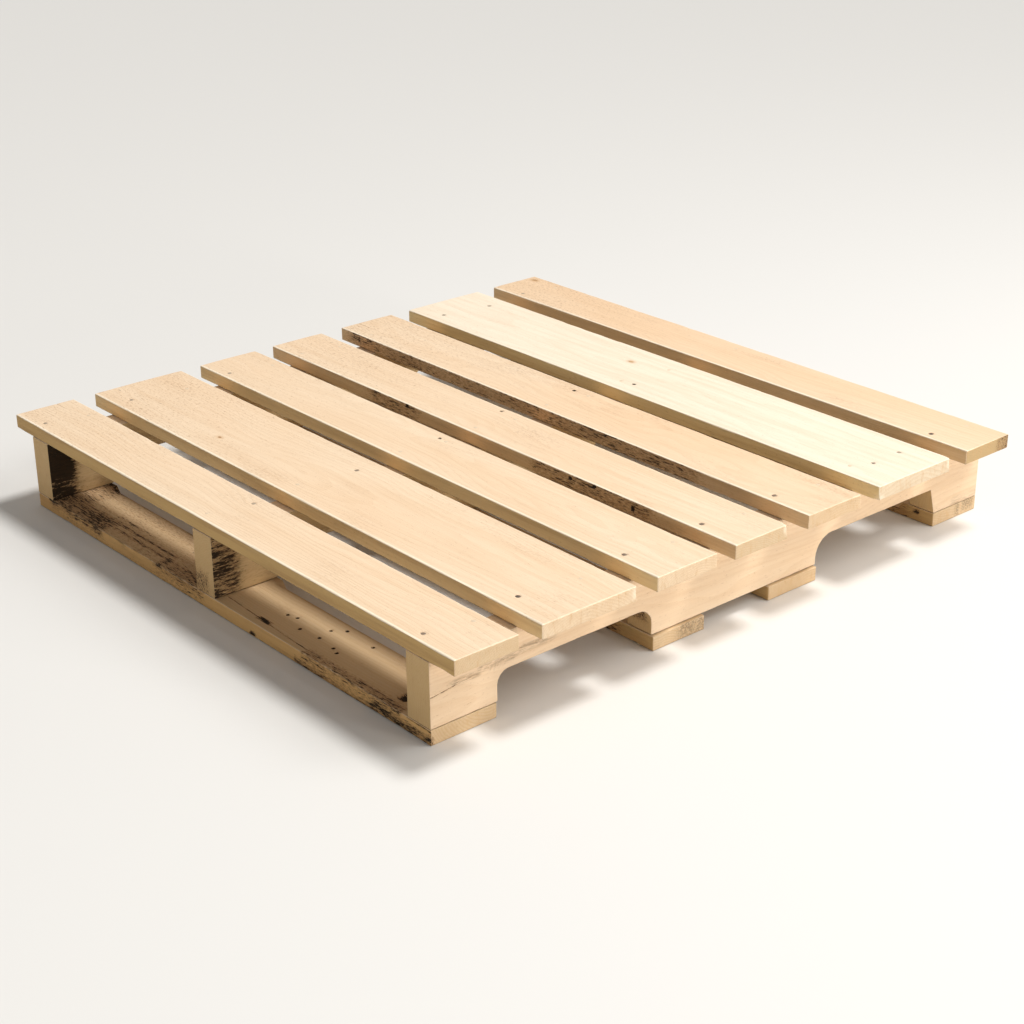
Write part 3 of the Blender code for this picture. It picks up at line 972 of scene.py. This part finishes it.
def bottom_nail_places(low, high, dice):
    """Two nails up through the board into each stringer, a little scattered."""
    places = []
    for side in SIDES:
        stringer_low, stringer_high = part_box(f"stringer_{side}")
        middle = (stringer_low.x + stringer_high.x) / 2
        for x, y in ((middle - NAIL_STAGGER, low.y + BOTTOM_NAIL_INSET),
                     (middle + NAIL_STAGGER, high.y - BOTTOM_NAIL_INSET)):
            x += dice.uniform(-NAIL_SCATTER, NAIL_SCATTER)
            y += dice.uniform(-NAIL_SCATTER, NAIL_SCATTER)
            places.append((x, y, BOTTOM_HEAD_HEIGHT))
    return places


# The front bottom board's old nail and worm holes (along, across), its knot hole, its crack in the top (along,
# across), and a groove in the front face under the right stringer's foot, darkened as a painted shadow line of
# the joint (along, up), with the extra grid lines that they need
FRONT_HOLES = ((0.126, -0.529), (0.144, -0.524), (0.175, -0.542), (0.217, -0.537), (0.256, -0.541),
               (0.271, -0.546), (0.227, -0.495), (0.210, -0.511), (0.292, -0.497))
HOLE_RADIUS = 3.8 * MM
HOLE_DEPTH = 2.2 * MM
HOLE_MARKS = (0.8 * MM, 2.0 * MM, 3.3 * MM)
KNOT_HOLE = (0.438, -0.551)
KNOT_HOLE_RADIUS = 14 * MM
KNOT_HOLE_DEPTH = 3 * MM
TOP_CRACK = ((0.016, -0.561), (0.260, -0.5735))
TOP_CRACK_MARKS = spread(-0.5755, -0.559, 1.2 * MM)
FOOT_JOINT_LINE = ((0.476, 0.0222), (0.530, 0.0198))
FOOT_JOINT_LEVELS = (0.0180, 0.0196)

# The front bottom board's darkening: dirt, and in the left part, where the deck above shades it, painted shade
# as well. On its top alone, and over the top's front edge too: from and to along, from and to behind the edge,
# strength, fade. On the front face: the same with heights for the edge. The first stretch over the edge has a
# brown rind
DIRT_START = -0.480
EDGE_RIND = 0.2
TOP_DIRT = ((DIRT_START, -0.030, 0.0, 0.115, 0.26, 0.014), (DIRT_START, -0.440, 0.0, 0.115, 0.54, 0.035),
            (DIRT_START, -0.080, 0.0205, 0.0225, 0.50, 0.006),
            (DIRT_START, -0.150, 0.0345, 0.0365, 0.50, 0.006),
            (DIRT_START, -0.230, 0.0495, 0.0515, 0.50, 0.006))
EDGE_DIRT = ((DIRT_START, -0.330, 0.0, 0.030, 0.52, 0.025), (-0.150, -0.030, 0.0, 0.016, 0.46, 0.030),
             (0.240, 0.460, 0.0, 0.010, 0.44, 0.014), (0.108, 0.130, 0.014, 0.020, 0.80, 0.004))
FACE_DIRT = ((-0.440, -0.060, 0.0, 0.002, 0.28, 0.008), (0.220, 0.400, 0.0, 0.006, 0.49, 0.010),
             (0.400, 0.530, 0.0, 0.010, 0.56, 0.010), (0.105, 0.120, 0.003, 0.008, 1.00, 0.003))


def mark_front_board(board):
    """The rough edge, cracks, holes and dirt that the front bottom board shows, with painted shade in its left
    part and as a line under the right stringer's foot.
    """
    left, front, base = board.low
    top = (board.high[2] - SKIN, board.high[2])
    board.gnaw(left + 0.060, -0.150, 0.016, 3.0 * MM)
    # Dirt on the top and its front edge, which in the left part is also painted shade
    for rows, face in ((TOP_DIRT, TOP), (EDGE_DIRT, None)):
        for start, stop, near, far, strength, fade in rows:
            board.soil_and_shade(strength, fade, 0.0, face, (start, stop), (front + near, front + far), top)
    start, stop, near, far, _, fade = EDGE_DIRT[0]
    board.soil_and_shade(0.0, fade, EDGE_RIND, None, (start, stop), (front + near, front + far), top)
    for start, stop, foot, height, strength, fade in FACE_DIRT:
        board.soil_and_shade(strength, fade, 0.0, None, (start, stop), (front, front + 1 * MM),
                   (base + foot, base + height))
    # A groove under the right stringer's foot, darkened as a painted shadow line of the joint
    board.score(*FOOT_JOINT_LINE, across_axis=2, face=FRONT, width=2.2 * MM, depth=1.4 * MM)
    board.score(*TOP_CRACK, across_axis=1, face=TOP, width=1.3 * MM, depth=1.6 * MM)
    for hole in FRONT_HOLES:
        board.dimple(hole, HOLE_RADIUS, HOLE_DEPTH, dirt=1.0)
    board.dimple(KNOT_HOLE, KNOT_HOLE_RADIUS, KNOT_HOLE_DEPTH, dirt=0.9)


def chamfer_bays():
    """Where chamfers start and stop along a board, between the stringers."""
    return [(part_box(f"stringer_{left}")[1].x + CHAMFER_STOP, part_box(f"stringer_{right}")[0].x - CHAMFER_STOP)
            for left, right in zip(SIDES, SIDES[1:])]


def make_bottom_board(name, seed, steel, dice):
    """One bottom board with the six nails that hold it from below."""
    node = f"bottom_board_{name}"
    looks = BOTTOM_LOOKS[name]
    low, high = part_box(node)
    nails = bottom_nail_places(low, high, dice)
    along, across = around(nails, 0, DIMPLE_MARKS), around(nails, 1, DIMPLE_MARKS)
    side = looks.get("chamfer", 0)
    edge = high.y if side > 0 else low.y
    bays = chamfer_bays() if side else ()
    if side:
        across.append(edge - side * CHAMFER_WIDTH)
    for start, stop in bays:
        along += [start, start + CHAMFER_RUN_OUT / 2, start + CHAMFER_RUN_OUT]
        along += [stop, stop - CHAMFER_RUN_OUT / 2, stop - CHAMFER_RUN_OUT]
    levels = ()
    if name == "front":
        levels = FOOT_JOINT_LEVELS
        along += around(FRONT_HOLES, 0, HOLE_MARKS)
        across += around(FRONT_HOLES, 1, HOLE_MARKS) + list(TOP_CRACK_MARKS)
    board = Timber(low, high, "X", seed=seed, marks=(along, across, levels), spacing=BOTTOM_SPACING)
    for start, stop in bays:
        board.chamfer(edge, side, start, stop)
    board.weather(rough=0.20 * MM, wave=0.4 * MM)
    board.wear_edges(depth=1 * MM, arris_highlight=0.35)
    for place in nails:
        board.dimple(place, DIMPLE_RADIUS, DIMPLE_DEPTH, dirt=0.45, face=UNDER)
    if name == "front":
        mark_front_board(board)
    if "mottled" in looks:
        board.soil_and_shade(0.43, 0.030, face=FRONT, along=looks["mottled"])
    for start, stop, height, fade in looks.get("end_soil", ()):
        board.soil_and_shade(0.10, fade, 0.50, LAST_END, across=(start, stop), up=(height, high.z))
    if "bruise" in looks:
        board.knock(*looks["bruise"])
    material = wood(f"bottom_wood_{name}", board, looks, BOTTOM_END)
    declare(board.finish(f"base_board_{name}", material), "bottom_wood", node)
    tarnish = [BOTTOM_TARNISH] * len(nails)
    declare(make_nails(f"base_nails_{name}", nails, -1, BOTTOM_NAIL, tarnish, steel, dice), "nail_steel")


# --- stage ---

FLOOR_REACH = 40.0
FLOOR_PAINT = (0.72, 0.71, 0.69, 1.0)
SURROUND = (1.0, 0.98, 0.95, 1.0)
SUNLIGHT = (1.0, 0.985, 0.96)
LAMPLIGHT = (1.0, 0.97, 0.92)


def make_floor():
    """A plain pale floor."""
    corners = [(x * FLOOR_REACH, y * FLOOR_REACH, 0.0) for x, y in ((-1, -1), (1, -1), (1, 1), (-1, 1))]
    shader = Shader("floor_paint", textured=False)
    shader.out("Base Color", FLOOR_PAINT)
    shader.out("Roughness", 0.85)
    add_mesh("floor", corners, [(0, 1, 2, 3)], shader.material)


def add_light(name, kind, place, **settings):
    """A light that shines from a place at the middle of the pallet."""
    data = bpy.data.lights.new(name, kind)
    for key, value in settings.items():
        setattr(data, key, value)
    light = add_object(name, data)
    light.location = place
    light.rotation_euler = Vector(place).to_track_quat("Z", "Y").to_euler()


def make_lights():
    """A sun from above and behind, a low light and a high one from the right, and a pale surround."""
    add_light("key", "SUN", (0.35, 2.05, 4.10), energy=2.42, angle=math.radians(14.0), color=SUNLIGHT)
    add_light("side", "AREA", (4.40, 0.80, 0.66), energy=66.0, size=0.9, color=LAMPLIGHT)
    add_light("high", "AREA", (2.20, 1.60, 2.60), energy=55.0, size=1.6, color=SUNLIGHT)
    world = bpy.data.worlds.new("studio")
    world.use_nodes = True
    background = world.node_tree.nodes["Background"]
    background.inputs["Color"].default_value = SURROUND
    background.inputs["Strength"].default_value = 0.34
    bpy.context.scene.world = world
    bpy.context.scene.view_settings.view_transform = "Standard"


def make_camera():
    """The camera, on the front right side of the pallet and above it."""
    data = bpy.data.cameras.new("camera")
    data.lens = CAMERA_LENS
    data.clip_end = 200.0
    camera = add_object("camera", data)
    looking = Vector(CAMERA_TARGET) - Vector(CAMERA_AT)
    turn = looking.to_track_quat("-Z", "Y").to_matrix() @ Matrix.Rotation(math.radians(CAMERA_ROLL), 3, "Z")
    camera.matrix_world = Matrix.Translation(CAMERA_AT) @ turn.to_4x4()
    bpy.context.scene.camera = camera


def main():
    """Everything in order: camera, stage, timbers and nails."""
    dice = random.Random(7)
    make_camera()
    make_floor()
    make_lights()
    steel = nail_steel()
    for number in DECK_LOOKS:
        make_deckboard(number, steel, dice)
    for seed, side in enumerate(SIDES, start=11):
        make_stringer(side, seed)
    for seed, name in enumerate(BOTTOM_LOOKS, start=21):
        make_bottom_board(name, seed, steel, dice)


main()
